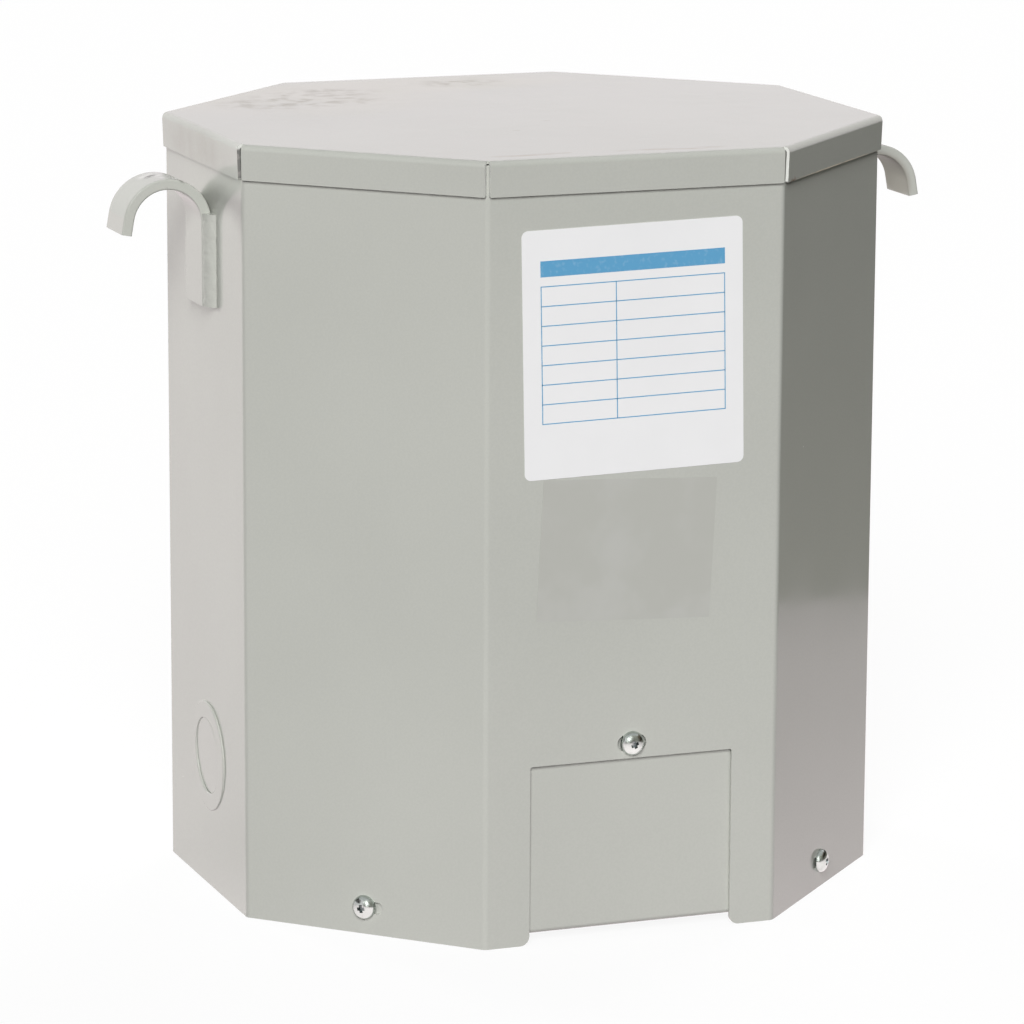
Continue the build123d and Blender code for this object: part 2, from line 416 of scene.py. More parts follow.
def roundEdges(piece, width):
    bevel = piece.modifiers.new("roundEdges", "BEVEL")
    bevel.width = width
    bevel.segments = edgeLook["segments"]
    bevel.limit_method = "ANGLE"
    bevel.angle_limit = math.radians(edgeLook["angle"])
    bevel.use_clamp_overlap = True
    even = piece.modifiers.new("evenShade", "WEIGHTED_NORMAL")
    even.mode = "FACE_AREA"
    even.weight = edgeLook["weight"]
    even.keep_sharp = False
    return piece


def smoothFaces(piece):
    for face in piece.data.polygons:
        face.use_smooth = True
    return piece


def settle(piece, slot, *nodes):
    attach(piece, "root")
    if nodes:
        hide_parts(*nodes)
    return piece


# Geometry Nodes: shared making
def newTree(name, sizes, materials=()):
    tree = bpy.data.node_groups.new(name, "GeometryNodeTree")
    tree.interface.new_socket("Geometry", in_out="OUTPUT", socket_type="NodeSocketGeometry")
    tree.interface.new_socket("Geometry", in_out="INPUT", socket_type="NodeSocketGeometry")
    for size in sizes:
        tree.interface.new_socket(size, in_out="INPUT", socket_type="NodeSocketFloat")
    for material in materials:
        tree.interface.new_socket(material, in_out="INPUT", socket_type="NodeSocketMaterial")
    entry = addNode(tree, "NodeGroupInput").outputs
    return tree, entry


def closeTree(tree, geometry, material=None):
    solid = shapeOut(tree, "RealizeInstances", {"Geometry": geometry})
    if material is not None:
        solid = coat(tree, solid, material)
    leave = tree.nodes.new("NodeGroupOutput")
    tree.links.new(solid, leave.inputs[0])
    return tree


def growPiece(name, tree, mesh, values):
    piece = newPiece(name, mesh)
    shape = piece.modifiers.new("shape", "NODES")
    shape.node_group = tree
    for item in tree.interface.items_tree:
        first, *rest = item.name.split()
        key = first.lower() + "".join(rest)        # the input Bend Reach takes the value bendReach
        if item.in_out == "INPUT" and key in values:
            isSize = item.socket_type == "NodeSocketFloat"
            shape[item.identifier] = float(values[key]) if isSize else values[key]
    return piece


def combine(tree, x=0.0, y=0.0, z=0.0):
    return nodeOut(tree, "ShaderNodeCombineXYZ", {0: x, 1: y, 2: z})


def coat(tree, geometry, material, where=True):
    inputs = {"Geometry": geometry, "Selection": where, "Material": material}
    return shapeOut(tree, "SetMaterial", inputs)


def joined(tree, *parts):
    node = addNode(tree, "GeometryNodeJoinGeometry")
    for part in parts:
        tree.links.new(part, node.inputs[0])
    return node.outputs[0]


def moved(tree, geometry, offset):
    return shapeOut(tree, "Transform", {"Geometry": geometry, "Translation": offset})


def merged(tree, geometry, gap):
    return shapeOut(tree, "MergeByDistance", {"Geometry": geometry, "Distance": gap})


def attribute(tree, name, kind="FLOAT"):
    return shapeOut(tree, "InputNamedAttribute", {"Name": name}, data_type=kind)


def pickByIndex(tree, values, kind):
    node = addNode(tree, "GeometryNodeIndexSwitch", data_type=kind)
    while len(node.index_switch_items) < len(values):
        node.index_switch_items.new()
    tree.links.new(shapeOut(tree, "InputIndex"), node.inputs[0])
    for number, value in enumerate(values):
        feed(tree, node.inputs[number + 1], value)
    return node.outputs[0]


def curveOf(tree, mesh, closed):
    curve = shapeOut(tree, "MeshToCurve", {"Mesh": mesh})
    return shapeOut(tree, "SetSplineCyclic", {"Geometry": curve, "Cyclic": closed})


def pathThrough(tree, points, closed=False):
    line = shapeOut(tree, "MeshLine", {"Count": len(points)})
    spots = pickByIndex(tree, points, "VECTOR")
    placed = shapeOut(tree, "SetPosition", {"Geometry": line, "Position": spots})
    return curveOf(tree, placed, closed)


def roundPath(tree, curve, radius, count):
    inputs = {"Curve": curve, "Radius": radius, "Count": count, "Limit Radius": True}
    return shapeOut(tree, "FilletCurve", inputs, mode="POLY")


def sweep(tree, path, section):
    inputs = {"Curve": path, "Profile Curve": section, "Fill Caps": True}
    return shapeOut(tree, "CurveToMesh", inputs)


# Lid: a plate with a flange bent down along every edge, square at its ends
lidSizes = {
    "sheet": 1.4 * mm,
    "bend": 2.7 * mm,        # outside radius
    "bendSteps": 7,
    "lean": 2.0,        # degrees
    "gap": 0.2 * mm,        # flange to case at the foot
    "footCorner": 0.6 * mm,
    "footSteps": 4,
    "footReach": 1.2,        # sheets; a shorter edge at the foot is a flange's corner
    "relief": 0.3 * mm,        # flange ends stop short of the plate's corners
    "edge": 0.3 * mm,
    "merge": 0.01 * mm,
}


def lidTree():
    sizes = ("Sheet", "Bend", "Bend Reach", "Flange", "Lean Shift", "Level")
    tree, entry = newTree("foldedLid", sizes, ("Paint", "Cut Edge"))
    leg = minus(tree, entry["Bend Reach"], entry["Lean Shift"])
    inner = minus(tree, entry["Bend Reach"], entry["Sheet"])
    innerLeg = minus(tree, leg, entry["Sheet"])
    innerBend = minus(tree, entry["Bend"], entry["Sheet"])
    section = pathThrough(tree, [        # x runs outwards and y down
        combine(tree),
        combine(tree, entry["Bend Reach"]),
        combine(tree, leg, entry["Flange"]),
        combine(tree, innerLeg, entry["Flange"]),
        combine(tree, inner, entry["Sheet"]),
        combine(tree, 0.0, entry["Sheet"]),
    ], closed=True)
    root = pickByIndex(tree, [1.0, 0.0, 0.0, 0.0, 0.0, 1.0], "FLOAT")        # the end that joins the plate
    marked = shapeOut(tree, "StoreNamedAttribute", {"Geometry": section, "Name": "root", "Value": root})
    radii = pickByIndex(tree, [0.0, entry["Bend"], 0.0, 0.0, innerBend, 0.0], "FLOAT")
    rounded = roundPath(tree, marked, radii, lidSizes["bendSteps"])
    isShort = calc(tree, "LESS_THAN", attribute(tree, "flange"), 0.5)
    folds = shapeOut(tree, "DeleteGeometry", {"Geometry": entry["Geometry"], "Selection": isShort},
                     domain="EDGE", mode="EDGE_FACE")
    edges = shapeOut(tree, "MeshToCurve", {"Mesh": folds})
    level = shapeOut(tree, "SetCurveNormal", {"Curve": edges}, mode="Z_UP")
    painted = coat(tree, sweep(tree, level, rounded), entry["Paint"])
    corners = addNode(tree, "GeometryNodeInputMeshFaceNeighbors").outputs["Vertex Count"]
    isCap = nodeOut(tree, "FunctionNodeCompare", {2: corners, 3: 4}, data_type="INT",
                    operation="GREATER_THAN")
    capped = coat(tree, painted, entry["Cut Edge"], isCap)
    onFace = shapeOut(tree, "FieldOnDomain", {0: attribute(tree, "root")}, data_type="FLOAT", domain="FACE")
    isRoot = nodeOut(tree, "FunctionNodeCompare", {0: onFace, 1: 0.99}, operation="GREATER_THAN")
    opened = shapeOut(tree, "DeleteGeometry", {"Geometry": capped, "Selection": isRoot}, domain="FACE")
    ring = shapeOut(tree, "MeshToCurve", {"Mesh": entry["Geometry"]})
    flat = shapeOut(tree, "FillCurve", {"Curve": ring}, mode="NGONS")        # filled at height zero
    raised = combine(tree, z=entry["Level"])
    top = shapeOut(tree, "SetPosition", {"Geometry": flat, "Offset": raised})
    drop = combine(tree, z=product(tree, entry["Sheet"], -1.0))
    under = shapeOut(tree, "SetPosition", {"Geometry": top, "Offset": drop})
    plated = coat(tree, joined(tree, under, top), entry["Paint"])
    return closeTree(tree, merged(tree, joined(tree, opened, plated), lidSizes["merge"]))


def octagon(outset):
    x = halfWidth + outset
    y = halfDepth + outset
    reach = slantReach + outset * math.sqrt(2)
    right = [(reach - y, -y), (x, x - reach), (x, reach - x), (reach - y, y)]
    return right + [(-px, py) for px, py in reversed(right)]


def makeLid():
    flange = lidHigh.z - lidLow.z
    leanShift = flange * math.tan(math.radians(lidSizes["lean"]))
    bendReach = lidSizes["bend"] * math.tan(math.radians(90 + lidSizes["lean"]) / 2)
    corners = octagon(lidSizes["sheet"] + lidSizes["gap"] + leanShift - bendReach)
    points = []
    for start, end in zip(corners, corners[1:] + corners[:1]):
        start, end = Vector((*start, lidHigh.z)), Vector((*end, lidHigh.z))
        short = lidSizes["relief"] * (end - start).normalized()
        points += [start + short, end - short]
    outline = emptyMesh("lidOutline")
    outline.from_pydata(points, [(n, (n + 1) % len(points)) for n in range(len(points))], [])
    flangeMark = outline.attributes.new("flange", "FLOAT", "EDGE")
    for number, mark in enumerate(flangeMark.data):
        mark.value = 1.0 - number % 2        # every other edge crosses a corner
    lid = growPiece("lidDressed", lidTree(), outline, {
        **lidSizes, "bendReach": bendReach, "flange": flange, "leanShift": leanShift, "level": lidHigh.z,
        "paint": lidPaint, "cutEdge": cutEdge})
    faceOutwards(bakeShape(lid))
    work = bmesh.new()        # plate corners closed, then the lower corners of the flanges rounded off
    work.from_mesh(lid.data)
    bmesh.ops.holes_fill(work, edges=[edge for edge in work.edges if edge.is_boundary], sides=4)
    feet = [edge for edge in work.edges if edge.calc_length() < lidSizes["footReach"] * lidSizes["sheet"]
            and max(v.co.z for v in edge.verts) < lidLow.z + lidSizes["sheet"]]
    bmesh.ops.bevel(work, geom=feet, offset=lidSizes["footCorner"], offset_type="OFFSET",
                    segments=lidSizes["footSteps"], profile=0.5, affect="EDGES")
    work.to_mesh(lid.data)
    work.free()
    smoothFaces(lid)
    bakeShape(roundEdges(lid, lidSizes["edge"]))
    return settle(lid, "lid_paint", "lid")


makeLid()
print("lid folded")

# Sheet pieces: copies of the CAD nodes with their cut edges softened by the paint
sheetSizes = {"flatAngle": 0.6, "weld": 0.003 * mm}
sheetPieces = {        # node, width of the softened edges
    "frontSheet": ("front_wrap", 0.3 * mm),
    "rearSheet": ("rear_wrap", 0.3 * mm),
    "wiringCover": ("wiring_cover", 0.3 * mm),
    "leftKnockoutRing": ("left_knockout_ring", 0.62 * mm),
    "leftKnockoutDisc": ("left_knockout_disc", 0.5 * mm),
    "rightKnockoutRing": ("right_knockout_ring", 0.62 * mm),
    "rightKnockoutDisc": ("right_knockout_disc", 0.5 * mm),
}
# The paint joins up the rims of the knockouts; each growth and push is given at the rear and at the front
rimSizes = {
    "ring": {"growth": (0.28 * mm, 0.75 * mm), "push": (0.0, 0.5 * mm)},
    "disc": {"growth": (0.7 * mm, 0.28 * mm), "push": (-0.25 * mm, 0.45 * mm)},
}
rimShare = 0.9        # of the radius, past which a point is on the rim
coverSizes = {"lean": 0.9 * mm, "flange": 4.5 * mm}        # the plate in the opening leans in at its top


def bendRim(work, sizes, hand):
    low = Vector([min(v.co[axis] for v in work.verts) for axis in range(3)])
    high = Vector([max(v.co[axis] for v in work.verts) for axis in range(3)])
    middle, rim = (low + high) / 2, (high.z - low.z) / 2
    for vert in work.verts:
        out = (vert.co - middle) * Vector((0, 1, 1))
        ahead = 0.5 - 0.5 * out.y / rim        # from 0 at the rear to 1 at the front
        growth, push = (start + ahead * (end - start) for start, end in (sizes["growth"], sizes["push"]))
        if out.length > rimShare * rim:
            vert.co += growth * out.normalized()
        vert.co.x += hand * push


def leanCover(work):
    front = min(v.co.y for v in work.verts)
    top = max(v.co.z for v in work.verts)
    for vert in work.verts:
        if vert.co.y < front + coverSizes["flange"]:
            vert.co.y += coverSizes["lean"] * vert.co.z / top


def makeSheetPiece(name, node, edge):
    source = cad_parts[node].data
    mesh = emptyMesh(name)
    mesh.from_pydata([v.co for v in source.vertices], [], [tuple(p.vertices) for p in source.polygons])
    work = bmesh.new()
    work.from_mesh(mesh)
    bmesh.ops.remove_doubles(work, verts=work.verts, dist=sheetSizes["weld"])
    flat = math.radians(sheetSizes["flatAngle"])
    bmesh.ops.dissolve_limit(work, angle_limit=flat, verts=work.verts, edges=work.edges)
    side, kind = node.split("_")[0], node.split("_")[-1]
    if kind in rimSizes:
        bendRim(work, rimSizes[kind], hands[side])
    elif kind == "cover":
        leanCover(work)
    work.to_mesh(mesh)
    work.free()
    mesh.materials.append(casePaint)
    piece = smoothFaces(newPiece(name, mesh))
    bakeShape(roundEdges(piece, edge))
    return settle(piece, "case_paint", node)


for pieceName, sheetPiece in sheetPieces.items():
    makeSheetPiece(pieceName, *sheetPiece)
print("sheet pieces dressed", len(sheetPieces))

# Lifting hooks: flat bar with rolled edges, bent over into a crook
hookSizes = {
    "bar": 4.8 * mm,
    "bend": 15.6 * mm,        # inside radius
    "bendSteps": 28,
    "lean": 10,        # degrees
    "tip": 7.2 * mm,
    "rolledEdge": 0.9 * mm,
    "rollSteps": 5,
    "cutEnd": 0.4 * mm,        # rounding of the bar's ends
}


def hookTree():
    sizes = ("Wall", "Hand", "Foot", "Eye", "Bar", "Width", "Bend", "Lean", "Tip", "Rolled Edge")
    tree, entry = newTree("bentHook", sizes, ("Paint",))
    halfBar = product(tree, entry["Bar"], 0.5)
    radius = total(tree, entry["Bend"], halfBar)
    legX = total(tree, entry["Wall"], product(tree, entry["Hand"], halfBar))
    crown = total(tree, entry["Eye"], radius)
    halfTurn = product(tree, minus(tree, math.pi / 2, entry["Lean"]), 0.5)
    reach = product(tree, radius, calc(tree, "TANGENT", halfTurn))        # second knee to its arc's ends
    kneeX = total(tree, legX, product(tree, entry["Hand"], total(tree, radius, reach)))
    run = total(tree, reach, entry["Tip"])
    tipX = total(tree, kneeX, product(tree, entry["Hand"], run, calc(tree, "SINE", entry["Lean"])))
    tipZ = minus(tree, crown, product(tree, run, calc(tree, "COSINE", entry["Lean"])))
    path = pathThrough(tree, [
        combine(tree, legX, 0.0, entry["Foot"]),
        combine(tree, legX, 0.0, crown),
        combine(tree, kneeX, 0.0, crown),
        combine(tree, tipX, 0.0, tipZ),
    ])
    bent = roundPath(tree, path, radius, hookSizes["bendSteps"])
    section = {"Width": entry["Bar"], "Height": entry["Width"]}
    bar = shapeOut(tree, "CurvePrimitiveQuadrilateral", section)
    rolled = roundPath(tree, bar, entry["Rolled Edge"], hookSizes["rollSteps"])
    smooth = shapeOut(tree, "SetShadeSmooth", {"Geometry": sweep(tree, bent, rolled)})
    return closeTree(tree, smooth, entry["Paint"])


hookShape = hookTree()
for hookSide, hand in hands.items():
    low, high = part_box(hookSide + "_hook")
    hook = growPiece(hookSide + "HookDressed", hookShape, emptyMesh(hookSide + "Hook"), {
        **hookSizes, "lean": math.radians(hookSizes["lean"]), "wall": hand * halfWidth, "hand": hand,
        "foot": low.z, "eye": high.z - hookSizes["bar"] - hookSizes["bend"], "width": high.y - low.y,
        "paint": hookPaint})
    faceOutwards(bakeShape(hook))
    smoothFaces(hook)
    bakeShape(roundEdges(hook, hookSizes["cutEnd"]))
    settle(hook, "hook_paint", hookSide + "_hook")
print("hooks bent")

# Weld beads along the hooks' legs, rippled under the paint
weldSizes = {
    "rings": 110,
    "corners": 14,
    "ripple": 0.09,
    "beats": 17.0,        # ripples along a bead
    "lump": 0.8 * mm,
    "lumpScale": 260.0,
    "noiseDetail": 2.0,
    "hollow": 1.3,
    "fuller": 1.12,        # times the solid's throw
    "blunt": 9.0,        # a higher power gives squarer ends
    "least": 0.12,        # share of the section left at the very ends
    "seedStep": 3.7,        # each bead ripples differently
}


def weldTree():
    sizes = ("Wall", "Root", "Foot", "Top", "Throw", "Toe", "Hollow", "Ripple", "Lump", "Seed")
    tree, entry = newTree("weldBead", sizes, ("Paint",))
    line = pathThrough(tree, [
        combine(tree, entry["Wall"], entry["Root"], entry["Foot"]),
        combine(tree, entry["Wall"], entry["Root"], entry["Top"]),
    ])
    path = shapeOut(tree, "ResampleCurve", {"Curve": line, "Count": weldSizes["rings"]})
    detail = weldSizes["noiseDetail"]
    along = addNode(tree, "GeometryNodeSplineParameter").outputs["Factor"]
    fromMiddle = calc(tree, "ABSOLUTE", minus(tree, product(tree, along, 2.0), 1.0))
    ends = calc(tree, "SQRT", minus(tree, 1.0, calc(tree, "POWER", fromMiddle, weldSizes["blunt"])))
    lift = combine(tree, z=total(tree, product(tree, along, weldSizes["beats"]), entry["Seed"]))
    beat = nodeOut(tree, "ShaderNodeTexNoise", {"Vector": lift, "Scale": 1.0, "Detail": detail})
    swell = total(tree, 1.0, product(tree, entry["Ripple"], minus(tree, beat, 0.5), 2.0))
    radius = product(tree, calc(tree, "MAXIMUM", ends, weldSizes["least"]), swell)
    sized = shapeOut(tree, "SetCurveRadius", {"Curve": path, "Radius": radius})
    points = shapeOut(tree, "MeshLine", {"Count": weldSizes["corners"]})
    index = shapeOut(tree, "InputIndex")
    turn = product(tree, minus(tree, index, 1.0), math.pi / 2 / (weldSizes["corners"] - 2))
    x = product(tree, entry["Throw"], calc(tree, "POWER", calc(tree, "COSINE", turn), entry["Hollow"]))
    y = product(tree, entry["Toe"], calc(tree, "POWER", calc(tree, "SINE", turn), entry["Hollow"]))
    onCurve = calc(tree, "GREATER_THAN", index, 0.5)        # the first point stays at the root
    spot = combine(tree, product(tree, x, onCurve), product(tree, y, onCurve))
    placed = shapeOut(tree, "SetPosition", {"Geometry": points, "Position": spot})
    bead = sweep(tree, sized, curveOf(tree, placed, True))
    where = shapeOut(tree, "InputPosition")
    lumpNoise = {"Vector": where, "Scale": weldSizes["lumpScale"], "Detail": detail}
    lumps = nodeOut(tree, "ShaderNodeTexNoise", lumpNoise)
    height = product(tree, entry["Lump"], minus(tree, lumps, 0.5))
    normal = shapeOut(tree, "InputNormal")
    push = nodeOut(tree, "ShaderNodeVectorMath", {0: normal, "Scale": height}, operation="SCALE")
    lumpy = shapeOut(tree, "SetPosition", {"Geometry": bead, "Offset": push})
    smooth = shapeOut(tree, "SetShadeSmooth", {"Geometry": lumpy})
    return closeTree(tree, smooth, entry["Paint"])


beadShape = weldTree()
beadSeed = 0.0
for hookSide, hand in hands.items():
    for end, way in (("front", -1), ("rear", 1)):
        node = f"{hookSide}_hook_{end}_weld"
        low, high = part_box(node)
        beadSeed += weldSizes["seedStep"]
        bead = growPiece(f"{hookSide}{end.capitalize()}Bead", beadShape, emptyMesh(node), {
            **weldSizes, "wall": hand * halfWidth, "root": high.y if way < 0 else low.y, "foot": low.z,
            "top": high.z, "throw": hand * weldSizes["fuller"] * (high.x - low.x),
            "toe": way * (high.y - low.y), "seed": beadSeed, "paint": hookPaint})
        faceOutwards(bakeShape(bead))
        settle(smoothFaces(bead), "hook_paint", node)
print("weld beads laid")

# Screws: pan heads with a cross recess, one over the opening and one low on each front slant
screwSizes = {
    "head": 10.9 * mm,
    "height": 3.9 * mm,
    "rim": 0.8 * mm,
    "shank": 4.2 * mm,
    "reach": 4.0 * mm,        # shank behind the head
    "wing": 1.5 * mm,
    "span": 5.4 * mm,
    "depth": 2.6 * mm,
    "pinch": 0.55,        # share of the recess's span lost at its bottom
    "domePowers": (2.3, 0.6),
    "sides": 48,
    "rings": 14,
    "shankSides": 24,
    "sharpAngle": 38,
    "centreLift": 88.2 * mm,
    "slantLift": 12.4 * mm,
}


def screwTree():
    sizes = ("Head", "Height", "Rim", "Shank", "Reach", "Wing", "Span", "Depth")
    tree, entry = newTree("crossScrew", sizes, ("Zinc", "Recess"))
    radius = product(tree, entry["Head"], 0.5)
    discInputs = {"Vertices": screwSizes["sides"], "Side Segments": 1, "Fill Segments": screwSizes["rings"],
                  "Radius": radius, "Depth": entry["Rim"]}
    disc = addNode(tree, "GeometryNodeMeshCylinder", discInputs, fill_type="TRIANGLE_FAN").outputs
    where = shapeOut(tree, "InputPosition")
    split = addNode(tree, "ShaderNodeSeparateXYZ", {0: where}).outputs
    flatSpot = combine(tree, split[0], split[1])
    out = addNode(tree, "ShaderNodeVectorMath", {0: flatSpot}, operation="LENGTH").outputs["Value"]
    share = calc(tree, "MINIMUM", calc(tree, "DIVIDE", out, radius), 1.0)
    innerPower, outerPower = screwSizes["domePowers"]
    dome = calc(tree, "POWER", minus(tree, 1.0, calc(tree, "POWER", share, innerPower)), outerPower)
    rise = combine(tree, z=product(tree, dome, minus(tree, entry["Height"], entry["Rim"])))
    domed = shapeOut(tree, "SetPosition",
                     {"Geometry": disc["Mesh"], "Selection": disc["Top"], "Offset": rise})
    bright = coat(tree, domed, entry["Zinc"])
    cut = addNode(tree, "GeometryNodeMeshBoolean", {"Mesh 1": bright},
                  operation="DIFFERENCE", solver="EXACT")
    wingSize = combine(tree, entry["Span"], entry["Wing"], product(tree, entry["Depth"], 2.0))
    deep = calc(tree, "LESS_THAN", split[2], 0.0)
    narrow = total(tree, 1.0, product(tree, deep, -screwSizes["pinch"]))
    pinched = combine(tree, product(tree, split[0], narrow), split[1], split[2])
    for turn in (0.0, math.pi / 2):
        wing = shapeOut(tree, "MeshCube", {"Size": wingSize})
        tapered = shapeOut(tree, "SetPosition", {"Geometry": wing, "Position": pinched})
        turnedWing = shapeOut(tree, "Transform", {"Geometry": tapered, "Rotation": (0, 0, turn)})
        lifted = moved(tree, turnedWing, combine(tree, z=entry["Height"]))
        tree.links.new(coat(tree, lifted, entry["Recess"]), cut.inputs["Mesh 2"])
    stemInputs = {"Vertices": screwSizes["shankSides"], "Radius": product(tree, entry["Shank"], 0.5),
                  "Depth": entry["Reach"]}
    stem = shapeOut(tree, "MeshCylinder", stemInputs)
    stem = moved(tree, stem, combine(tree, z=product(tree, entry["Reach"], -0.5)))
    screw = joined(tree, cut.outputs[0], coat(tree, stem, entry["Zinc"]))
    facing = attribute(tree, "facing", "FLOAT_VECTOR")
    aim = nodeOut(tree, "FunctionNodeAlignRotationToVector", {"Vector": facing}, axis="Z")
    spin = {"Axis": (0, 0, 1), "Angle": attribute(tree, "turned")}
    twist = nodeOut(tree, "FunctionNodeAxisAngleToRotation", spin)
    pose = nodeOut(tree, "FunctionNodeRotateRotation", {0: aim, 1: twist}, rotation_space="LOCAL")
    placed = shapeOut(tree, "InstanceOnPoints",
                      {"Points": entry["Geometry"], "Instance": screw, "Rotation": pose})
    return closeTree(tree, placed)


def makeScrews():
    slantX = (halfWidth + slantReach - halfDepth) / 2
    slantY = -(halfDepth + sideEnd) / 2
    lift = screwSizes["rim"] / 2
    places = [        # spot on the sheet, outward direction, turn of the recess in degrees
        ((0, -halfDepth, screwSizes["centreLift"]), (0, -1, 0), 24),
        ((-slantX, slantY, screwSizes["slantLift"]), (-diagonal, -diagonal, 0), 52),
        ((slantX, slantY, screwSizes["slantLift"]), (diagonal, -diagonal, 0), 10),
    ]
    spots = emptyMesh("screwSpots")
    spots.from_pydata([Vector(spot) + lift * Vector(out) for spot, out, turn in places], [], [])
    spots.attributes.new("facing", "FLOAT_VECTOR", "POINT")
    spots.attributes.new("turned", "FLOAT", "POINT")
    for number, (spot, out, turn) in enumerate(places):
        spots.attributes["facing"].data[number].vector = out
        spots.attributes["turned"].data[number].value = math.radians(turn)
    screws = growPiece("screws", screwTree(), spots, {
        **screwSizes, "zinc": finishes["screwZinc"], "recess": finishes["screwRecess"]})
    bakeShape(screws)
    smoothFaces(screws)
    screws.data.set_sharp_from_angle(angle=math.radians(screwSizes["sharpAngle"]))
    return settle(screws, "screw_zinc")


makeScrews()
print("screws in")

# Front stickers: a white plate with a blank ruled form, and a bare clear film under it
plateSizes = {
    "centre": (-1.0 * mm, 265.2 * mm),        # x and z on the front
    "width": 102.8 * mm,
    "height": 109.4 * mm,
    "corner": 3.0 * mm,
    "thick": 0.2 * mm,
    "turn": 1.15,        # degrees, anticlockwise
}
filmSizes = {
    "centre": (-3.3 * mm, 176.0 * mm),
    "width": 81.8 * mm,
    "height": 63.0 * mm,
    "corner": 0.8 * mm,
    "thick": 0.09 * mm,
    "turn": -2.7,
}
stickerSizes = {"cornerSteps": 8, "merge": 0.005 * mm}
formSizes = {
    "rule": 0.45 * mm,
    "ink": 0.02 * mm,
    "width": 86.0 * mm,
    "top": 30.0 * mm,        # first rule above the plate's middle
    "step": 8.6 * mm,
    "rows": 8,
    "band": 7.0 * mm,
    "bandLift": 1.1,        # middle of the band above the first rule, in bands
    "split": -8.0 * mm,        # upright rule, off the plate's middle
}


def onFront(piece, sizes, lift):
    x, z = sizes["centre"]
    turn = Matrix.Rotation(math.radians(sizes["turn"]), 4, "Z")
    upright = Matrix.Rotation(math.radians(90), 4, "X")        # flat shape in XY stood up to face -Y
    piece.data.transform(Matrix.Translation((x, -halfDepth - lift, z)) @ upright @ turn)
    return piece


def stickerTree():
    tree, entry = newTree("roundedSticker", ("Width", "Height", "Corner", "Thick"), ("Face",))
    section = {"Width": entry["Width"], "Height": entry["Height"]}
    square = shapeOut(tree, "CurvePrimitiveQuadrilateral", section)
    rounded = roundPath(tree, square, entry["Corner"], stickerSizes["cornerSteps"])
    filled = shapeOut(tree, "FillCurve", {"Curve": rounded}, mode="NGONS")
    up = combine(tree, z=1.0)
    lift = {"Mesh": filled, "Offset": up, "Offset Scale": entry["Thick"], "Individual": False}
    raised = shapeOut(tree, "ExtrudeMesh", lift)
    flipped = shapeOut(tree, "FlipFaces", {"Mesh": filled})
    whole = merged(tree, joined(tree, raised, flipped), stickerSizes["merge"])
    return closeTree(tree, whole, entry["Face"])


def formTree():
    sizes = ("Rule", "Ink", "Width", "Top", "Step", "Rows", "Band", "Split")
    tree, entry = newTree("ruledForm", sizes, ("Print",))

    def block(x, y):
        return shapeOut(tree, "MeshCube", {"Size": combine(tree, x, y, entry["Ink"])})

    bar = block(entry["Width"], entry["Rule"])
    down = combine(tree, y=product(tree, entry["Step"], -1.0))
    rows = {"Count": entry["Rows"], "Start Location": combine(tree, y=entry["Top"]), "Offset": down}
    spots = shapeOut(tree, "MeshLine", rows)
    parts = [shapeOut(tree, "InstanceOnPoints", {"Points": spots, "Instance": bar})]
    drop = product(tree, entry["Step"], minus(tree, entry["Rows"], 1.0))
    post = block(entry["Rule"], drop)
    middle = minus(tree, entry["Top"], product(tree, drop, 0.5))
    edge = product(tree, minus(tree, entry["Width"], entry["Rule"]), 0.5)
    for x in (product(tree, edge, -1.0), entry["Split"], edge):
        parts.append(moved(tree, post, combine(tree, x, middle)))
    above = total(tree, entry["Top"], product(tree, entry["Band"], formSizes["bandLift"]))
    parts.append(moved(tree, block(entry["Width"], entry["Band"]), combine(tree, y=above)))
    return closeTree(tree, joined(tree, *parts), entry["Print"])


def makeSticker(name, tree, sizes, material, slot):
    sticker = growPiece(name, tree, emptyMesh(name), {**sizes, "face": material})
    faceOutwards(bakeShape(sticker))
    return settle(onFront(sticker, sizes, 0.0), slot)


stickerShape = stickerTree()
makeSticker("ratingPlate", stickerShape, plateSizes, finishes["plateVinyl"], "label_vinyl")
makeSticker("clearFilmPatch", stickerShape, filmSizes, finishes["clearFilm"], "clear_film")
formValues = {**formSizes, "print": finishes["plateInk"]}
form = growPiece("plateForm", formTree(), emptyMesh("plateForm"), formValues)
bakeShape(form)
settle(onFront(form, plateSizes, plateSizes["thick"] + formSizes["ink"] / 2), "label_vinyl")
print("stickers on")

# The sealed block stays as its CAD node
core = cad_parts["potted_core"]
core.data.materials.clear()
core.data.materials.append(finishes["pottingResin"])

# Camera, from the photograph's vanishing lines
cameraView = {
    "turn": 20.677,        # degrees, as fitted
    "dip": 12.078,
    "roll": -0.286,
    "aimHeight": 0.5,        # share of the object's height
    "offset": (0.0113, -0.0305, 6.6222),        # right, down and ahead, in object heights
    "lens": 175.9,
    "sensor": 36.0,
}


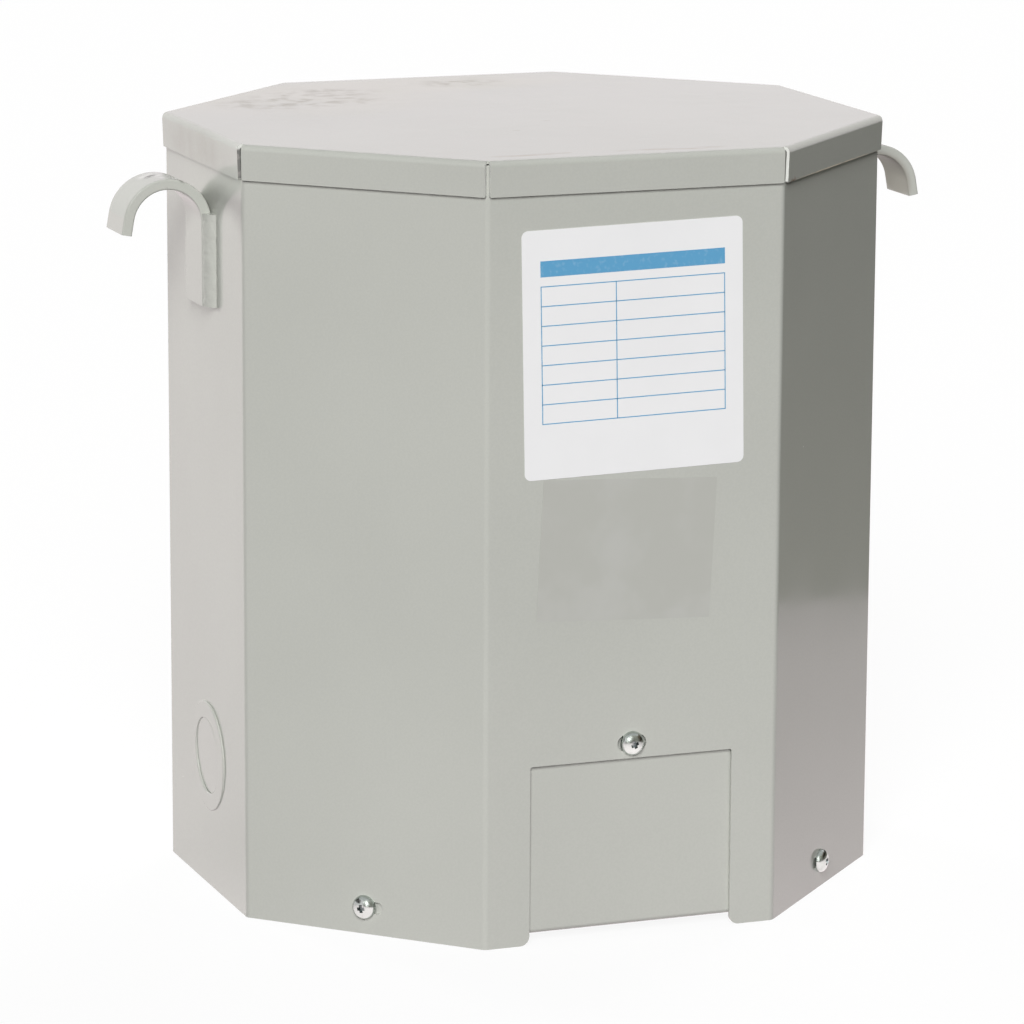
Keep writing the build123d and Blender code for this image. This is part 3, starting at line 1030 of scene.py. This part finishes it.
def makeCamera():
    turn, dip, roll = (math.radians(cameraView[k]) for k in ("turn", "dip", "roll"))
    ahead = Vector((math.sin(turn) * math.cos(dip), math.cos(turn) * math.cos(dip), -math.sin(dip)))
    level = Vector((math.cos(turn), -math.sin(turn), 0))
    plumb = ahead.cross(level)
    right = math.cos(roll) * level + math.sin(roll) * plumb
    down = math.cos(roll) * plumb - math.sin(roll) * level
    tall = lidHigh.z
    aim = Vector((0, 0, cameraView["aimHeight"] * tall))
    sideways, lower, far = (v * tall for v in cameraView["offset"])
    place = aim - sideways * right - lower * down - far * ahead
    lensBody = bpy.data.cameras.new("photoCamera")
    lensBody.lens = cameraView["lens"]
    lensBody.sensor_width = cameraView["sensor"]
    lensBody.sensor_fit = "AUTO"
    camera = bpy.data.objects.new("photoCamera", lensBody)
    bpy.context.scene.collection.objects.link(camera)
    axes = Matrix((right, -down, -ahead)).transposed().to_4x4()
    camera.matrix_world = Matrix.Translation(place) @ axes
    bpy.context.scene.camera = camera


makeCamera()

# Light: soft lamps by direction
lamps = {        # turn from the front to the left, rise, level, size, colour, and whether gloss shows it
    "frontKey": (24.8, 30, 1.14, 32, (1, 1, 1), True),
    "leftRear": (157, 4, 1.38, 14, (1, 1, 1), False),
    "rightRear": (224, 44, 0.34, 30, (1, 1, 1), False),
    "rightFill": (236, 6, 0.2, 40, (1, 0.86, 0.66), False),
}


def makeLamps():
    for name, (turn, rise, level, size, colour, mirrored) in lamps.items():
        turn, rise = math.radians(turn), math.radians(rise)
        flat = math.cos(rise)
        towards = Vector((-math.sin(turn) * flat, -math.cos(turn) * flat, math.sin(rise)))
        light = bpy.data.lights.new(name, "SUN")
        light.energy = level * math.pi
        light.angle = math.radians(size)
        light.color = colour
        bulb = bpy.data.objects.new(name, light)
        bulb.visible_glossy = mirrored
        bulb.rotation_mode = "QUATERNION"
        bulb.rotation_quaternion = towards.to_track_quat("Z", "Y")
        bpy.context.scene.collection.objects.link(bulb)


def rayKinds(tree):
    path = addNode(tree, "ShaderNodeLightPath").outputs
    mirrored = calc(tree, "MAXIMUM", path["Is Glossy Ray"], path["Is Transmission Ray"])
    return path["Is Camera Ray"], mirrored


stageLook = {
    "floor": 0.2,
    "veil": 0.5,        # share of plain white over the lit floor, as the camera sees it
    "white": 1.8,
    "plain": (1, 1, 1, 1),
    "room": (0.97, 0.92, 0.94, 1),        # the room in reflections
    "table": (1.12, 1.0, 1.02, 1),        # the floor in reflections
    "farWhite": 0.95,        # level of the floor in reflections, away from the spots
    "spots": [        # places on the floor: centre, level added, where it starts to fade and ends
        ((-0.12, -0.38, 0.0), 0.45, 0.2, 0.5),
        ((0.12, -0.08, 0.0), 0.26, 0.05, 0.4),
        ((-0.20, -0.02, 0.0), -0.2, 0.03, 0.16),
    ],
    "edge": (-0.24, 0.47, 0.66),        # level lost towards the table's right end, from x to x
    "sky": 0.02,
    "half": 9.0,
}


def makeFloor():
    half = stageLook["half"]
    mesh = emptyMesh("studioFloor")
    corners = [(-half, -half, 0), (half, -half, 0), (half, half, 0), (-half, half, 0)]
    mesh.from_pydata(corners, [], [(0, 1, 2, 3)])
    floor = newPiece("studioFloor", mesh)
    material, tree, shader, coords = newMaterial("studioFloor")
    tree.nodes.remove(shader)
    matte = nodeOut(tree, "ShaderNodeBsdfDiffuse", {"Color": (stageLook["floor"],) * 3 + (1,)})
    direct, mirrored = rayKinds(tree)
    loss, edgeFrom, edgeTo = stageLook["edge"]
    across = nodeOut(tree, "ShaderNodeSeparateXYZ", {0: coords})
    levels = [stageLook["farWhite"], rangeTo(tree, across, edgeFrom, edgeTo, 0.0, loss)]
    for centre, gain, fadeFrom, fadeTo in stageLook["spots"]:
        apart = addNode(tree, "ShaderNodeVectorMath", {0: coords, 1: centre}, operation="DISTANCE")
        levels.append(rangeTo(tree, apart.outputs["Value"], fadeFrom, fadeTo, gain, 0.0))
    table = product(tree, mirrored, total(tree, *levels))
    white = calc(tree, "MAXIMUM", product(tree, direct, stageLook["white"]), table)
    tint = mixColour(tree, mirrored, stageLook["plain"], stageLook["table"])
    glow = nodeOut(tree, "ShaderNodeEmission", {"Color": tint, "Strength": white})
    veil = calc(tree, "MAXIMUM", product(tree, direct, stageLook["veil"]), mirrored)
    mix = nodeOut(tree, "ShaderNodeMixShader", {0: veil, 1: matte, 2: glow})
    tree.links.new(mix, tree.nodes["Material Output"].inputs["Surface"])
    mesh.materials.append(material)
    floor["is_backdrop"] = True


def makeWorld():
    world = bpy.data.worlds.new("studioWorld")
    bpy.context.scene.world = world
    world.use_nodes = True
    tree = world.node_tree
    ground = tree.nodes["Background"]
    direct, mirrored = rayKinds(tree)
    level = calc(tree, "MAXIMUM", calc(tree, "MAXIMUM", direct, mirrored), stageLook["sky"])
    tree.links.new(level, ground.inputs["Strength"])
    tint = mixColour(tree, mirrored, stageLook["plain"], stageLook["room"])
    tree.links.new(tint, ground.inputs["Color"])


# Cards out of the picture, seen in gloss only: one ends the white floor, the rest darken the room
cards = {        # two edges, each from its lower to its upper end, and the glow below and above
    "tableEnd": {"edges": ((0.645, -0.4, 0), (0.645, -0.4, 0.3), (0.645, 0.8, 0), (0.645, 0.8, 0.3)),
                 "glow": (0.25, 0.01), "fade": 0.2, "tint": (1.0, 0.95, 0.78, 1)},
    "behindCamera": {"edges": ((-4, -2.9, 0), (-4, -2.9, 4), (4, -2.9, 0), (4, -2.9, 4)),
                     "glow": (0.22, 0.5), "fade": 4, "tint": (1.0, 0.98, 0.86, 1)},
    "farRight": {"edges": ((3.4, -2.9, 0), (3.4, -2.9, 3), (3.4, 1, 0), (3.4, 1, 3)),
                 "glow": (0.06, 0.2), "fade": 3, "tint": (1.0, 0.8, 0.62, 1)},
    "farLeft": {"edges": ((-3.8, -0.9, 0.7), (-3.8, -0.9, 2.6), (-1.6, 3.2, 0.7), (-1.6, 3.2, 2.6)),
                "glow": (0.1, 0.1), "fade": 3, "tint": (1.0, 0.95, 0.92, 1)},
    "ceiling": {"edges": ((-4, -2.9, 4), (-4, 4, 4), (4, -2.9, 4), (4, 4, 4)),
                "glow": (0.65, 0.65), "fade": 4, "tint": (1.0, 1.0, 1.0, 1)},
}


def makeCard(name, card):
    mesh = emptyMesh(name)
    mesh.from_pydata(card["edges"], [], [(0, 1, 3, 2)])
    material, tree, shader, coords = newMaterial(name)
    tree.nodes.remove(shader)
    upright = addNode(tree, "ShaderNodeSeparateXYZ", {0: coords}).outputs[2]
    level = rangeTo(tree, upright, 0.0, card["fade"], *card["glow"], smooth=False)
    glow = nodeOut(tree, "ShaderNodeEmission", {"Color": card["tint"], "Strength": level})
    tree.links.new(glow, tree.nodes["Material Output"].inputs["Surface"])
    mesh.materials.append(material)
    piece = newPiece(name, mesh)
    for rays in ("camera", "diffuse", "shadow"):
        setattr(piece, "visible_" + rays, False)
    piece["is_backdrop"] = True


makeLamps()
makeFloor()
makeWorld()
for cardName, cardLook in cards.items():
    makeCard(cardName, cardLook)
bpy.context.scene.view_settings.view_transform = "Standard"
print("camera, lamps and stage set")

low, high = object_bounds()
